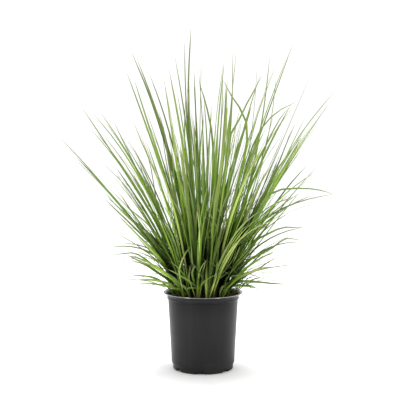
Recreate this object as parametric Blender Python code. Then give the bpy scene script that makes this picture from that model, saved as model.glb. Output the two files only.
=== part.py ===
"""An ornamental grass clump growing in a black nursery pot.

The pot is a thin moulded shell with a flared lip, a collar that steps out in a bead, a stepped foot
and drainage slots round its bottom corner. Potting mix fills it to a little below the lip. The clump
is made of shoots that stand side by side in the mix: each is one grown piece, a short sheath that
opens into a few keeled leaves. Lengths are in metres, +Z is up, and the origin is the centre of the
pot's flat base, on the surface it stands on.
"""

import math
import random

import bmesh
import bpy
from mathutils import Matrix, Vector
from mathutils.bvhtree import BVHTree

GAP = 0.0003  # left between pieces that touch

# The pot, a turned shell
POT_SEGMENTS = 48
LIP_RADIUS = 0.0825
BODY_TOP_RADIUS = 0.0727
BODY_FOOT_RADIUS = 0.0655
BASE_RADIUS = 0.0626
BASE_CORNER = 0.0025
BAND_TOP = 0.0090
STEP_TOP = 0.0160
BODY_TOP = 0.1455
BEAD_HEIGHT = 0.1478
BEAD_RADIUS = 0.0750
BEAD_TOP = 0.1492
COLLAR_RADIUS = 0.0745
FLARE_START = 0.1517
LIP_ROLL = 0.0010
CORNER_STEPS = 3
FLARE_STEPS = 4
LIP_STEPS = 3
WALL = 0.0012
FLOOR = 0.0016

# The arched slots moulded through the pot's bottom corner
SLOT_COUNT = 7
SLOT_HALF_WIDTH = 0.0090
SLOT_HEIGHT = 0.0070
SLOT_INNER = 0.0530
SLOT_OUTER = 0.0660
FIRST_SLOT_DEG = -94.0

# The potting mix
MIX_SEGMENTS = 24
MIX_EDGE_HEIGHT = 0.1370
MIX_RISE = 0.0070
MIX_BUMP = 0.0011
MIX_RINGS = (0.88, 0.70, 0.52, 0.34, 0.16)

# The shoots
SHEATH_RADIUS = 0.0031
SHEATH_FOOT_RADIUS = 0.0036
SHEATH_HEIGHTS = (0.020, 0.038)
CROWN_RADIUS = 0.054
CROWN_SEED = 5
BASE_JITTER = 0.0010
GOLDEN_ANGLE = math.pi * (3 - math.sqrt(5))
LEAF_RINGS = (0.13, 0.36, 0.60, 0.82)
LEAF_TAPER = (0.76, 1.00, 0.84, 0.50)
LEAF_WIDTHS = (0.0036, 0.0054)
LEAF_LENGTHS = (0.62, 0.97)
TIP_SPREADS = (0.008, 0.026)
TIP_SWAY = 0.010
SPREAD_LENGTH = 0.5  # a shoot this much short of a metre long fans and sways by the values above
FAN_POWER = 1.15
SWAY_POWER = 1.6
BOW = 0.005
LEAST_BOW = 0.1
KEEL_SHARE = 0.30
MARGIN = 0.0003
MOST_TRIES = 400
SHEATH_SEED = 8000
LEAF_SEEDS = 1000
SHOOT_SEEDS = 100 * LEAF_SEEDS

# By its last try, how much more a leaf may bow, bow inwards and fall short than on its first
SLACK_BOW = 4.0
SLACK_INWARDS = 0.5
SLACK_LENGTH = 0.5

# The tip of each shoot's leading leaf, in millimetres, with the shape of the whole shoot. Across and
# up are places in the upright plane through the pot's axis, as seen from VIEW_DISTANCE in front of it
# and VIEW_HEIGHT up. Back is how far behind that plane the tip is. Arch is how far the shoot bows
# above its chord, as a share of its length, and the last number is how many leaves it has.
VIEW_DISTANCE = 1.90
VIEW_HEIGHT = 0.477
SHOOTS = (
    # across, up, back, arch, leaves
    # upright shoots from the middle of the clump
    (-26, 702, 0, -0.02, 5),
    (-59, 643, 70, 0.03, 5),
    (-69, 620, -80, 0.02, 5),
    (-10, 628, 110, 0.01, 5),
    (40, 628, -60, 0.01, 5),
    (60, 652, 60, -0.03, 4),
    (70, 662, -110, -0.01, 5),
    (-33, 572, -150, 0.03, 4),
    (20, 536, 190, 0.04, 4),
    (3, 544, -195, 0.04, 4),
    (78, 517, 200, 0.05, 4),
    (-46, 470, 225, 0.06, 4),
    # tall shoots leaning to the left
    (-148, 654, 20, 0.03, 4),
    (-109, 607, 125, 0.03, 4),
    (-79, 595, -140, 0.01, 4),
    (-246, 538, 25, 0.04, 4),
    (-294, 477, 0, 0.03, 3),
    (-237, 500, -80, 0.06, 4),
    (-199, 517, 105, 0.04, 4),
    (-183, 511, -125, 0.04, 4),
    (-141, 513, 175, 0.05, 4),
    (-120, 479, -190, 0.05, 4),
    # tall shoots leaning to the right
    (136, 645, 0, -0.05, 4),
    (120, 605, 125, 0.03, 4),
    (182, 675, 45, 0.02, 3),
    (223, 606, -50, -0.01, 4),
    (190, 553, 110, 0.08, 3),
    (182, 547, -120, 0.04, 4),
    (268, 572, 20, 0.03, 3),
    (247, 519, 110, 0.04, 3),
    (203, 479, -130, 0.04, 4),
    (130, 500, -185, 0.05, 4),
    # arching shoots round the outside, left to right
    (-200, 424, 70, 0.05, 4),
    (-203, 355, -55, 0.06, 4),
    (-169, 332, 110, 0.09, 4),
    (-158, 275, -85, 0.09, 4),
    (-196, 252, 40, 0.21, 3),
    (-158, 236, -15, 0.11, 3),
    (-164, 184, 35, 0.17, 3),
    (234, 422, 20, 0.05, 4),
    (230, 408, -95, 0.08, 4),
    (272, 363, 0, 0.21, 3),
    (228, 360, 80, 0.12, 3),
    (207, 294, -50, 0.15, 3),
    (200, 262, 60, 0.15, 3),
    (148, 244, -80, 0.09, 3),
    (172, 181, 10, 0.19, 3),
    # shoots leaning forward
    (-60, 430, -235, 0.08, 4),
    (75, 425, -225, 0.08, 4),
    (5, 380, -265, 0.12, 4),
    (-125, 345, -200, 0.12, 4),
    (140, 325, -185, 0.12, 4),
    # shoots leaning back
    (0, 420, 250, 0.09, 4),
    (-95, 370, 235, 0.11, 4),
    (105, 380, 225, 0.11, 4),
    (-135, 285, 190, 0.16, 3),
    (140, 280, 180, 0.16, 3),
    (35, 300, 265, 0.17, 3),
)


def clear_scene():
    for obj in list(bpy.data.objects):
        bpy.data.objects.remove(obj)


def material(name, colour, roughness):
    made = bpy.data.materials.new(name)
    made.use_nodes = True
    shader = made.node_tree.nodes["Principled BSDF"]
    shader.inputs["Base Color"].default_value = (*colour, 1.0)
    shader.inputs["Roughness"].default_value = roughness
    shader.inputs["Metallic"].default_value = 0.0
    return made


def object_from(bm, name, finish, parent, location=(0.0, 0.0, 0.0)):
    """The bmesh as a new object, smooth apart from its creases."""
    mesh = bpy.data.meshes.new(name)
    bm.to_mesh(mesh)
    bm.free()
    mesh.materials.append(finish)
    mesh.shade_smooth()
    mesh.set_sharp_from_angle(angle=math.radians(35))
    obj = bpy.data.objects.new(name, mesh)
    bpy.context.collection.objects.link(obj)
    obj.location = location
    obj.parent = parent
    return obj


def arc(centre, radius, start_deg, end_deg, steps):
    """Points (r, z) along an arc, both ends included."""
    turns = [math.radians(start_deg + (end_deg - start_deg) * i / steps) for i in range(steps + 1)]
    return [(centre[0] + radius * math.cos(a), centre[1] + radius * math.sin(a)) for a in turns]


def pot_profile():
    """The shell's outline, up the outside and down the inside."""
    corner = (BASE_RADIUS - BASE_CORNER, BASE_CORNER)
    flare_centre = (LIP_RADIUS - LIP_ROLL, FLARE_START)
    flare = LIP_RADIUS - LIP_ROLL - COLLAR_RADIUS
    lip_centre = (LIP_RADIUS - LIP_ROLL, FLARE_START + flare + WALL / 2)
    outside = [(0.0, 0.0), *arc(corner, BASE_CORNER, -90, 0, CORNER_STEPS)]
    outside += [(BASE_RADIUS, BAND_TOP), (BODY_FOOT_RADIUS, STEP_TOP), (BODY_TOP_RADIUS, BODY_TOP)]
    outside += [(BEAD_RADIUS, BEAD_HEIGHT), (COLLAR_RADIUS, BEAD_TOP)]
    outside += arc(flare_centre, flare, 180, 105, FLARE_STEPS)
    lip = arc(lip_centre, LIP_ROLL, -75, 90, LIP_STEPS)
    inside = arc(flare_centre, flare + WALL, 105, 180, FLARE_STEPS - 1)
    inside += [(COLLAR_RADIUS - WALL, BEAD_HEIGHT + WALL / 2), (BODY_TOP_RADIUS - WALL, BODY_TOP + WALL / 2)]
    inside += [(BODY_FOOT_RADIUS - WALL, STEP_TOP), (BASE_RADIUS - WALL, BAND_TOP)]
    inside += [(BASE_RADIUS - WALL, BASE_CORNER), (BASE_RADIUS - BASE_CORNER, FLOOR), (0.0, FLOOR)]
    return outside + lip + inside


def turned(profile, segments):
    """A closed solid turned about Z from an outline that starts and ends on the axis."""
    bm = bmesh.new()
    points = [bm.verts.new((r, 0.0, z)) for r, z in profile]
    edges = [bm.edges.new(pair) for pair in zip(points, points[1:])]
    bmesh.ops.spin(
        bm, geom=points + edges, cent=(0, 0, 0), axis=(0, 0, 1),
        angle=math.tau, steps=segments, use_merge=True,
    )
    bmesh.ops.remove_doubles(bm, verts=bm.verts, dist=1e-6)
    bmesh.ops.recalc_face_normals(bm, faces=bm.faces)
    return bm


def slot_cutter():
    """Oval rods that lie along radii of the base, half below it, one for each drainage slot."""
    bm = bmesh.new()
    length = SLOT_OUTER - SLOT_INNER
    for i in range(SLOT_COUNT):
        angle = math.radians(FIRST_SLOT_DEG) + math.tau * i / SLOT_COUNT
        out = Vector((math.cos(angle), math.sin(angle), 0.0))
        place = out.to_track_quat("Z", "Y").to_matrix().to_4x4()
        place.translation = out * (SLOT_INNER + length / 2)
        oval = Matrix.Diagonal((SLOT_HALF_WIDTH, SLOT_HEIGHT, 1.0, 1.0))
        bmesh.ops.create_cone(
            bm, cap_ends=True, segments=12, radius1=1.0, radius2=1.0, depth=length, matrix=place @ oval,
        )
    mesh = bpy.data.meshes.new("drainage_slot_cutter")
    bm.to_mesh(mesh)
    bm.free()
    cutter = bpy.data.objects.new("drainage_slot_cutter", mesh)
    bpy.context.collection.objects.link(cutter)
    cutter.hide_render = True
    cutter.display_type = "WIRE"
    return cutter


def make_pot(parent):
    finish = material("black_pot_plastic", (0.030, 0.030, 0.031), 0.48)
    pot = object_from(turned(pot_profile(), POT_SEGMENTS), "pot", finish, parent)
    slots = pot.modifiers.new("drainage_slots", "BOOLEAN")
    slots.operation = "DIFFERENCE"
    slots.object = slot_cutter()
    return pot


def pot_inner_radius(height):
    """Inside radius of the pot's tapered wall."""
    share = (height - STEP_TOP) / (BODY_TOP + WALL / 2 - STEP_TOP)
    return BODY_FOOT_RADIUS - WALL + (BODY_TOP_RADIUS - BODY_FOOT_RADIUS) * share


def mix_height(x, y):
    """Height of the mix's top surface: a low mound under the clump, with lumps."""
    share = min(1.0, math.hypot(x, y) / pot_inner_radius(MIX_EDGE_HEIGHT))
    lumps = math.sin(173 * x + 0.7) * math.sin(151 * y - 0.4) + 0.6 * math.sin(311 * x - 257 * y)
    return MIX_EDGE_HEIGHT + MIX_RISE * (1 - share**2) + MIX_BUMP * lumps * (1 - 0.6 * share)


def highest_mix(base, radius):
    """The mix's greatest height under a round foot."""
    turns = [math.tau * i / 8 for i in range(8)]
    ring = [base + Vector((math.cos(a), math.sin(a))) * radius for a in turns]
    return max(mix_height(p.x, p.y) for p in [base, *ring])


def make_potting_mix(parent):
    edge = pot_inner_radius(MIX_EDGE_HEIGHT) - GAP
    sides = [(0.0, FLOOR + GAP), (BASE_RADIUS - BASE_CORNER - GAP, FLOOR + GAP)]
    sides += [(BASE_RADIUS - WALL - GAP, BASE_CORNER + GAP), (BASE_RADIUS - WALL - GAP, BAND_TOP + GAP)]
    sides += [(BODY_FOOT_RADIUS - WALL - GAP, STEP_TOP + GAP), (edge, MIX_EDGE_HEIGHT)]
    top = [(edge * share, MIX_EDGE_HEIGHT) for share in MIX_RINGS] + [(0.0, MIX_EDGE_HEIGHT)]
    bm = turned(sides + top, MIX_SEGMENTS)
    for vert in bm.verts:
        if vert.co.z > MIX_EDGE_HEIGHT - GAP and vert.co.xy.length < edge - GAP:
            vert.co.z = mix_height(vert.co.x, vert.co.y)
    finish = material("dark_potting_mix", (0.030, 0.020, 0.013), 0.95)
    return object_from(bm, "potting_mix", finish, parent)


def tip_of(across, up, back):
    """The real place, in metres, of a tip seen at across and up that is back behind the plane."""
    depth = back / 1000
    scale = (VIEW_DISTANCE + depth) / VIEW_DISTANCE
    return Vector((across / 1000 * scale, depth, VIEW_HEIGHT + (up / 1000 - VIEW_HEIGHT) * scale))


def shoot_bases(tips):
    """Where each shoot stands. The places are spread evenly over the crown, and neighbours trade
    places until no two shoots lean across each other."""
    count = len(tips)
    rng = random.Random(CROWN_SEED)
    bases = []
    for i in range(count):
        angle = i * GOLDEN_ANGLE
        radius = CROWN_RADIUS * math.sqrt((i + 0.5) / count)
        jitter = Vector((rng.uniform(-1, 1), rng.uniform(-1, 1))) * BASE_JITTER
        bases.append(Vector((math.cos(angle), math.sin(angle))) * radius + jitter)
    leans = []
    for tip in tips:
        lean = math.atan2(tip.xy.length, tip.z - MIX_EDGE_HEIGHT)
        leans.append(tip.xy.normalized() * lean)
    traded = True
    while traded:
        traded = False
        for i in range(count):
            for j in range(i):
                if (bases[i] - bases[j]).dot(leans[i] - leans[j]) < 0:
                    bases[i], bases[j] = bases[j], bases[i]
                    traded = True
    return bases


class Shoot:
    """One shoot's line of growth, from the mix to the tip of its leading leaf."""

    def __init__(self, base, tip, arch, count, rng):
        self.count = count
        self.foot = Vector((base.x, base.y, highest_mix(base, SHEATH_FOOT_RADIUS) + 2 * GAP))
        self.tip = tip
        chord = tip - self.foot
        self.length = chord.length
        self.out = Vector((chord.x, chord.y, 0.0)).normalized()
        self.side = Vector((0, 0, 1)).cross(self.out)
        above = chord.cross(self.side).normalized()
        self.bend = (self.foot + tip) / 2 + above * arch * chord.length * 2
        self.start = rng.uniform(*SHEATH_HEIGHTS) / self.length
        self.turn = rng.uniform(0, math.tau)
        self.blades = []

    def spine(self, t):
        return self.foot * (1 - t) ** 2 + self.bend * 2 * t * (1 - t) + self.tip * t**2

    def along(self, t):
        return ((self.bend - self.foot) * (1 - t) + (self.tip - self.bend) * t).normalized()

    def spoke(self, angle, t):
        """The unit vector square to the spine at t that points out at this angle round it."""
        outward = self.side.cross(self.along(t)).normalized()
        return outward * math.cos(angle) + self.side * math.sin(angle)

    def sheath_ring(self, t, radius):
        """Corners of the sheath's section, each between two leaves."""
        angles = [self.turn + math.tau * (i - 0.5) / self.count for i in range(self.count)]
        if t == 0:
            level = [self.out * math.cos(a) + self.side * math.sin(a) for a in angles]
            return [self.foot + way * radius for way in level]
        return [self.spine(t) + self.spoke(a, t) * radius for a in angles]

    def sector(self, place, hub, ring):
        """The part of the sheath's mouth that this leaf grows from."""
        return [hub, ring[place], ring[(place + 1) % self.count]]

    def sheath_tree(self):
        low = self.sheath_ring(0, SHEATH_FOOT_RADIUS + MARGIN)
        high = self.sheath_ring(self.start, SHEATH_RADIUS + MARGIN)
        return tube_tree([low, high])

    def mesh(self):
        """The whole shoot as one closed body."""
        bm = bmesh.new()
        low = [bm.verts.new(p) for p in self.sheath_ring(0, SHEATH_FOOT_RADIUS)]
        high = [bm.verts.new(p) for p in self.sheath_ring(self.start, SHEATH_RADIUS)]
        bm.faces.new(low)
        add_skin(bm, low, high)
        hub = bm.verts.new(self.spine(self.start))
        sectors = [self.sector(i, hub, high) for i in range(self.count)]
        for bare in set(range(self.count)) - {blade.place for blade in self.blades}:
            bm.faces.new(sectors[bare])
        for blade in self.blades:
            ring = sectors[blade.place]
            for section in blade.sections():
                above = [bm.verts.new(p) for p in section]
                add_skin(bm, ring, above)
                ring = above
            add_skin(bm, ring, [bm.verts.new(blade.point(1.0))])
        bmesh.ops.recalc_face_normals(bm, faces=bm.faces)
        return bm


class Blade:
    """One leaf of a shoot. The leading leaf ends at the shoot's tip, the others fan out round it."""

    def __init__(self, shoot, place, leads, slack, rng):
        self.shoot = shoot
        self.place = place
        self.angle = shoot.turn + math.tau * place / shoot.count
        self.width = rng.uniform(*LEAF_WIDTHS)
        bow = BOW * (1 + SLACK_BOW * slack)
        least = LEAST_BOW - SLACK_INWARDS * slack
        self.bows = (rng.uniform(least, 1) * bow, rng.uniform(-1, 1) * bow)
        self.length = 1.0
        self.spread = 0.0
        self.sway = 0.0
        if not leads:
            size = SPREAD_LENGTH + shoot.length
            self.length = rng.uniform(LEAF_LENGTHS[0] * (1 - SLACK_LENGTH * slack), LEAF_LENGTHS[1])
            self.spread = rng.uniform(*TIP_SPREADS) * size
            self.sway = rng.uniform(-1, 1) * TIP_SWAY * size * (1 + slack)

    def axes(self, share):
        """The place on the spine that belongs to this share of the leaf, outwards and across."""
        t = self.shoot.start + (self.length - self.shoot.start) * share
        outward = self.shoot.spoke(self.angle, t)
        return self.shoot.spine(t), outward, self.shoot.along(t).cross(outward)

    def point(self, share):
        """The leaf's centre line, from the mouth of the sheath at 0 to its tip at 1."""
        middle, outward, across = self.axes(share)
        bulge = share**2 * (1 - share) * 27 / 4  # 1 at its height, two thirds of the way up
        fan = self.spread * share**FAN_POWER + self.bows[0] * bulge
        sideways = self.sway * share**SWAY_POWER + self.bows[1] * bulge
        return middle + outward * (SHEATH_RADIUS * (1 - share**2) + fan) + across * sideways

    def section(self, share, taper, margin):
        """A flat triangle: the leaf's two edges with the keel between them, away from the spine."""
        _, outward, across = self.axes(share)
        centre = self.point(share)
        half = self.width * taper / 2
        keel = centre + outward * (half * 2 * KEEL_SHARE + margin)
        inner = centre - outward * margin
        return [inner - across * (half + margin), keel, inner + across * (half + margin)]

    def sections(self, margin=0.0):
        return [self.section(s, t, margin) for s, t in zip(LEAF_RINGS, LEAF_TAPER)]

    def tree(self, with_foot):
        """The leaf with MARGIN round it, with or without the part next to the sheath."""
        rings = self.sections(MARGIN) + [[self.point(1.0) + self.shoot.along(1.0) * MARGIN]]
        if with_foot:
            mouth = self.shoot.sheath_ring(self.shoot.start, SHEATH_RADIUS + MARGIN)
            rings.insert(0, self.shoot.sector(self.place, self.shoot.spine(self.shoot.start), mouth))
        return tube_tree(rings)


def skin_between(low, high):
    """Triangles between two rings, or between a ring and a single point. Each corner of the low ring
    stands a little before its own corner of the high one, so the seams lean back from the next."""
    for k in range(len(low)):
        after = (k + 1) % len(low)
        if len(high) == 1:
            yield low[k], low[after], high[0]
        else:
            yield low[k], low[after], high[k]
            yield low[after], high[after], high[k]


def add_skin(bm, low, high):
    for corners in skin_between(low, high):
        bm.faces.new(corners)


def tube_tree(rings):
    """A search tree of the skin that joins a row of rings."""
    points = [p for ring in rings for p in ring]
    numbers = iter(range(len(points)))
    rows = [[next(numbers) for _ in ring] for ring in rings]
    skin = [corners for pair in zip(rows, rows[1:]) for corners in skin_between(*pair)]
    return BVHTree.FromPolygons(points, skin)


def grow_blade(shoot, place, number, standing, family):
    """Tries one leaf in slightly different shapes until it touches nothing that stands already."""
    for attempt in range(MOST_TRIES):
        rng = random.Random(number * SHOOT_SEEDS + place * LEAF_SEEDS + attempt)
        blade = Blade(shoot, place, place == 0, attempt / MOST_TRIES, rng)
        whole = blade.tree(True)
        upper = blade.tree(False)
        others = [tree for owner, tree in standing if owner is not shoot]
        if any(whole.overlap(tree) for tree in others):
            continue
        if any(upper.overlap(tree) for tree in family[shoot]):
            continue
        standing.append((shoot, whole))
        family[shoot].append(upper)
        shoot.blades.append(blade)
        return True
    return False


def make_shoots(parent, pot, mix):
    """Grows the leading leaves first, then the others, each where there is room for it. A leaf that
    has no room anywhere stays out, and its place in the mouth of the sheath is closed."""
    graph = bpy.context.evaluated_depsgraph_get()
    standing = [(None, BVHTree.FromObject(obj, graph)) for obj in (pot, mix)]
    finish = material("fresh_grass", (0.115, 0.220, 0.030), 0.50)
    tips = [tip_of(*row[:3]) for row in SHOOTS]
    shoots = []
    for number, (base, tip, row) in enumerate(zip(shoot_bases(tips), tips, SHOOTS)):
        for attempt in range(MOST_TRIES):
            rng = random.Random(SHEATH_SEED + number + attempt * len(SHOOTS))
            shoot = Shoot(base, tip, row[3], row[4], rng)
            sheath = shoot.sheath_tree()
            if not any(sheath.overlap(tree) for _, tree in standing):
                break
        else:
            raise RuntimeError(f"the sheath of shoot {number + 1} has no room")
        shoots.append(shoot)
        standing.append((shoot, sheath))
    family = {shoot: [] for shoot in shoots}
    for place in range(max(shoot.count for shoot in shoots)):
        for number, shoot in enumerate(shoots):
            if place < shoot.count:
                grew = grow_blade(shoot, place, number, standing, family)
                if place == 0 and not grew:
                    raise RuntimeError(f"the leading leaf of shoot {number + 1} has no room")
    for number, shoot in enumerate(shoots, start=1):
        bm = shoot.mesh()
        bmesh.ops.translate(bm, verts=bm.verts, vec=-shoot.foot)
        object_from(bm, f"shoot_{number:02d}", finish, parent, shoot.foot)


def main():
    clear_scene()
    plant = bpy.data.objects.new("potted_grass", None)
    bpy.context.collection.objects.link(plant)
    pot = make_pot(plant)
    mix = make_potting_mix(plant)
    make_shoots(plant, pot, mix)


main()
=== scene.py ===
"""The looks of a potted ornamental grass clump: a white studio, a black nursery pot, dark potting mix,
and the many shoots that stand in it with their long, narrow leaves. Lengths are in metres."""

import itertools
import math
import random

import bmesh
import bpy
import numpy as np
from mathutils import Matrix, Vector, noise


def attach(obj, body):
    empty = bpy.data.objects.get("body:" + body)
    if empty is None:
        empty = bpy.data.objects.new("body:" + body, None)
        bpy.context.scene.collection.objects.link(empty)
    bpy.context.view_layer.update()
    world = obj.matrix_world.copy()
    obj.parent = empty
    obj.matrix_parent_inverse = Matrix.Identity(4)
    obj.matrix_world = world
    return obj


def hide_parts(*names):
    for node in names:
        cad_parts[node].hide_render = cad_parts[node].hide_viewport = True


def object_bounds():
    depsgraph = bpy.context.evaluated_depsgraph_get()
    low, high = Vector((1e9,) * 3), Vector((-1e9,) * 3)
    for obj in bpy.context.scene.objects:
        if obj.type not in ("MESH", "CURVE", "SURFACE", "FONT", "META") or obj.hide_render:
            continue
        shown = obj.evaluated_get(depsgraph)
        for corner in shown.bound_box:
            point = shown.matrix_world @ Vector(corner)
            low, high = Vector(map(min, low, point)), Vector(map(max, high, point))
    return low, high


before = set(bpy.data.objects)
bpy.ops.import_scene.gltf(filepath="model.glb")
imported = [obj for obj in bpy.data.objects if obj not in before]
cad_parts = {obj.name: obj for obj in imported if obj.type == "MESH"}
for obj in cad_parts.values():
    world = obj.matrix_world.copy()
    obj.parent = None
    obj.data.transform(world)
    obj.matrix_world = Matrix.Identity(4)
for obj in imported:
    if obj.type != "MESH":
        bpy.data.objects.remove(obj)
solid_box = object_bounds()


# The studio. A wide white floor lies in a white room that is bright above and dimmer towards the horizon
# and behind the camera. A tall soft box stands on either side of the camera, and a broad one hangs above
# and a little behind the clump. The camera stands in front, at mid-height of the leaves.

VIEW_DISTANCE = 1.90
VIEW_HEIGHT = 0.477
VIEW_ASIDE = -0.0064
VIEW_DOWN = math.radians(3.8)
LENS = 82.9
SENSOR_WIDTH = 36
CLUMP_MIDDLE = Vector((0, 0, 0.30))
camera = bpy.data.objects.new("camera", bpy.data.cameras.new("camera"))
camera.data.lens = LENS
camera.data.sensor_width = SENSOR_WIDTH
camera.location = (VIEW_ASIDE, -VIEW_DISTANCE, VIEW_HEIGHT)
camera.rotation_euler = (math.pi / 2 - VIEW_DOWN, 0, 0)
bpy.context.collection.objects.link(camera)
bpy.context.scene.camera = camera
bpy.context.scene.view_settings.view_transform = "Standard"


def soft_box(name, azimuth, height, distance, width, tall, watts):
    """An area light that faces the middle of the clump. Azimuth is from the camera, to the right, and
    distance is level, from the pot's axis."""
    light = bpy.data.lights.new(name, "AREA")
    light.shape = "RECTANGLE"
    light.size = width
    light.size_y = tall
    light.energy = watts
    lamp = bpy.data.objects.new(name, light)
    turn = math.radians(azimuth)
    lamp.location = (distance * math.sin(turn), -distance * math.cos(turn), height)
    aim = CLUMP_MIDDLE - lamp.location
    lamp.rotation_euler = aim.to_track_quat("-Z", "Y").to_euler()
    bpy.context.collection.objects.link(lamp)


soft_box("left_soft_box", azimuth=-46, height=0.75, distance=2.2, width=0.55, tall=1.5, watts=16)
soft_box("right_soft_box", azimuth=43, height=0.75, distance=2.2, width=0.45, tall=1.5, watts=11)
soft_box("top_soft_box", azimuth=182, height=2.40, distance=0.40, width=1.1, tall=1.1, watts=48)

# The room's glow lights the clump, and the backdrop's is what the camera sees of it
ROOM_GLOW = 1.9
DIM_GLOW = 0.60
LEVEL_SHARE = 0.35
BACKDROP_GLOW = 1.10
world = bpy.data.worlds.new("white_room")
bpy.context.scene.world = world
world.use_nodes = True
room = world.node_tree
ray = room.nodes.new("ShaderNodeTexCoord")
direction = room.nodes.new("ShaderNodeSeparateXYZ")
room.links.new(ray.outputs["Generated"], direction.inputs["Vector"])


def glow_along(axis, start, end, dim, bright):
    """A glow that changes from dim to bright with the direction's component along an axis."""
    glow = room.nodes.new("ShaderNodeMapRange")
    glow.interpolation_type = "SMOOTHSTEP"
    for socket, value in (("From Min", start), ("From Max", end), ("To Min", dim), ("To Max", bright)):
        glow.inputs[socket].default_value = value
    room.links.new(direction.outputs[axis], glow.inputs["Value"])
    return glow


behind = glow_along("Y", -0.95, 0.1, DIM_GLOW, ROOM_GLOW)
above = glow_along("Z", 0.0, 0.8, LEVEL_SHARE, 1.0)
both = room.nodes.new("ShaderNodeMath")
both.operation = "MULTIPLY"
seen = room.nodes.new("ShaderNodeLightPath")
strength = room.nodes.new("ShaderNodeMapRange")
strength.inputs["To Max"].default_value = BACKDROP_GLOW
surround = room.nodes["Background"]
surround.inputs["Color"].default_value = (1, 1, 1, 1)
room.links.new(behind.outputs["Result"], both.inputs[0])
room.links.new(above.outputs["Result"], both.inputs[1])
room.links.new(both.outputs["Value"], strength.inputs["To Min"])
room.links.new(seen.outputs["Is Camera Ray"], strength.inputs["Value"])
room.links.new(strength.outputs["Result"], surround.inputs["Strength"])


def linear(red, green, blue):
    """A colour as it looks on a screen, from 0 to 255, as the light that a shader works with."""
    screen = np.array((red, green, blue)) / 255
    light = np.where(screen <= 0.04045, screen / 12.92, ((screen + 0.055) / 1.055) ** 2.4)
    return (*(float(x) for x in light), 1.0)


class Value:
    """A number, colour or vector from a shader node. A sum on a number adds a Math node."""

    def __init__(self, finish, socket):
        self.finish = finish
        self.socket = socket

    def __add__(self, other):
        return self.finish.sum_of("ADD", self, other)

    def __radd__(self, other):
        return self.finish.sum_of("ADD", other, self)

    def __sub__(self, other):
        return self.finish.sum_of("SUBTRACT", self, other)

    def __rsub__(self, other):
        return self.finish.sum_of("SUBTRACT", other, self)

    def __mul__(self, other):
        return self.finish.sum_of("MULTIPLY", self, other)

    def __rmul__(self, other):
        return self.finish.sum_of("MULTIPLY", other, self)


class Finish:
    """A material, and the one way to add a node to it."""

    def __init__(self, name, **fixed):
        self.material = bpy.data.materials.new(name)
        self.material.use_nodes = True
        self.tree = self.material.node_tree
        self.shader = self.tree.nodes["Principled BSDF"]
        for socket, value in fixed.items():
            self.shader.inputs[socket.replace("_", " ")].default_value = value

    def node(self, kind, settings=None, sockets=None, output=0):
        """Adds a node with these settings, fills its sockets, and gives one of its outputs."""
        made = self.tree.nodes.new(kind)
        for name, setting in (settings or {}).items():
            if name == "stops":
                for _ in range(len(setting) - 2):
                    made.color_ramp.elements.new(0.5)
                for element, (place, colour) in zip(made.color_ramp.elements, setting):
                    element.position = place
                    element.color = colour
            else:
                setattr(made, name, setting)
        self.fill(made, sockets or {})
        return Value(self, made.outputs[output])

    def fill(self, node, sockets):
        """Links each socket to a value from another node, or sets it."""
        for name, value in sockets.items():
            if isinstance(value, Value):
                self.tree.links.new(value.socket, node.inputs[name])
            else:
                node.inputs[name].default_value = value

    def sum_of(self, operation, *values):
        """A Math node's sum."""
        return self.node("ShaderNodeMath", {"operation": operation}, dict(enumerate(values)))

    def stretched(self, place, stretch):
        """Places with each axis stretched."""
        return self.node("ShaderNodeMapping", sockets={"Vector": place, "Scale": stretch})

    def coordinates(self, stretch=(1, 1, 1)):
        """The piece's own coordinates."""
        return self.stretched(self.node("ShaderNodeTexCoord", output="Object"), stretch)

    def component(self, place, axis):
        """One component of a place: X, Y or Z."""
        return self.node("ShaderNodeSeparateXYZ", sockets={"Vector": place}, output=axis)

    def mark(self, name):
        """The number that a piece's mesh holds under this name."""
        return self.node("ShaderNodeAttribute", {"attribute_name": name}, output="Fac")

    def grain(self, place, scale, detail=3.0, roughness=0.5):
        """Noise from 0 to 1."""
        sockets = {"Vector": place, "Scale": scale, "Detail": detail, "Roughness": roughness}
        return self.node("ShaderNodeTexNoise", sockets=sockets, output="Fac")

    def ramp(self, value, *stops):
        """Colours laid along a number."""
        return self.node("ShaderNodeValToRGB", {"stops": stops}, {"Fac": value}, "Color")

    def between(self, value, low, high):
        """How far a number has come from low to high, from 0 to 1, eased at both ends."""
        sockets = {"Value": value, "From Min": low, "From Max": high}
        return self.node("ShaderNodeMapRange", {"interpolation_type": "SMOOTHSTEP"}, sockets)

    def mix(self, share, first, second):
        """Two colours mixed."""
        return self.node("ShaderNodeMix", {"data_type": "RGBA"}, {0: share, 6: first, 7: second}, 2)

    def bump(self, height, distance, strength, normal=None):
        """A relief of the surface, on top of another one where that is given."""
        sockets = {"Height": height, "Distance": distance, "Strength": strength}
        if normal:
            sockets["Normal"] = normal
        return self.node("ShaderNodeBump", sockets=sockets)

    def surface(self, **sockets):
        """Links what changes over the surface to the shader."""
        self.fill(self.shader, {name.replace("_", " "): value for name, value in sockets.items()})
        return self.material


FLOOR_SIZE = 60
bpy.ops.object.select_all(action="DESELECT")
bpy.ops.mesh.primitive_plane_add(size=FLOOR_SIZE)
floor = bpy.context.object
floor.name = "white_floor"
paper = Finish("white_floor_paper", Roughness=0.8)
faint = paper.grain(paper.coordinates(), 3.0)
white = paper.ramp(faint, (0.3, linear(227, 227, 227)), (0.7, linear(229, 229, 229)))
floor.data.materials.append(paper.surface(Base_Color=white))


# The pot. A thin shell of black polypropylene, moulded in one piece: a flared lip, a collar that steps
# out from the tapered body in a bead, and a foot that steps in below a shallow ledge. Seven arched
# drainage slots go through its bottom corner, where the wall meets the floor.

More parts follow.
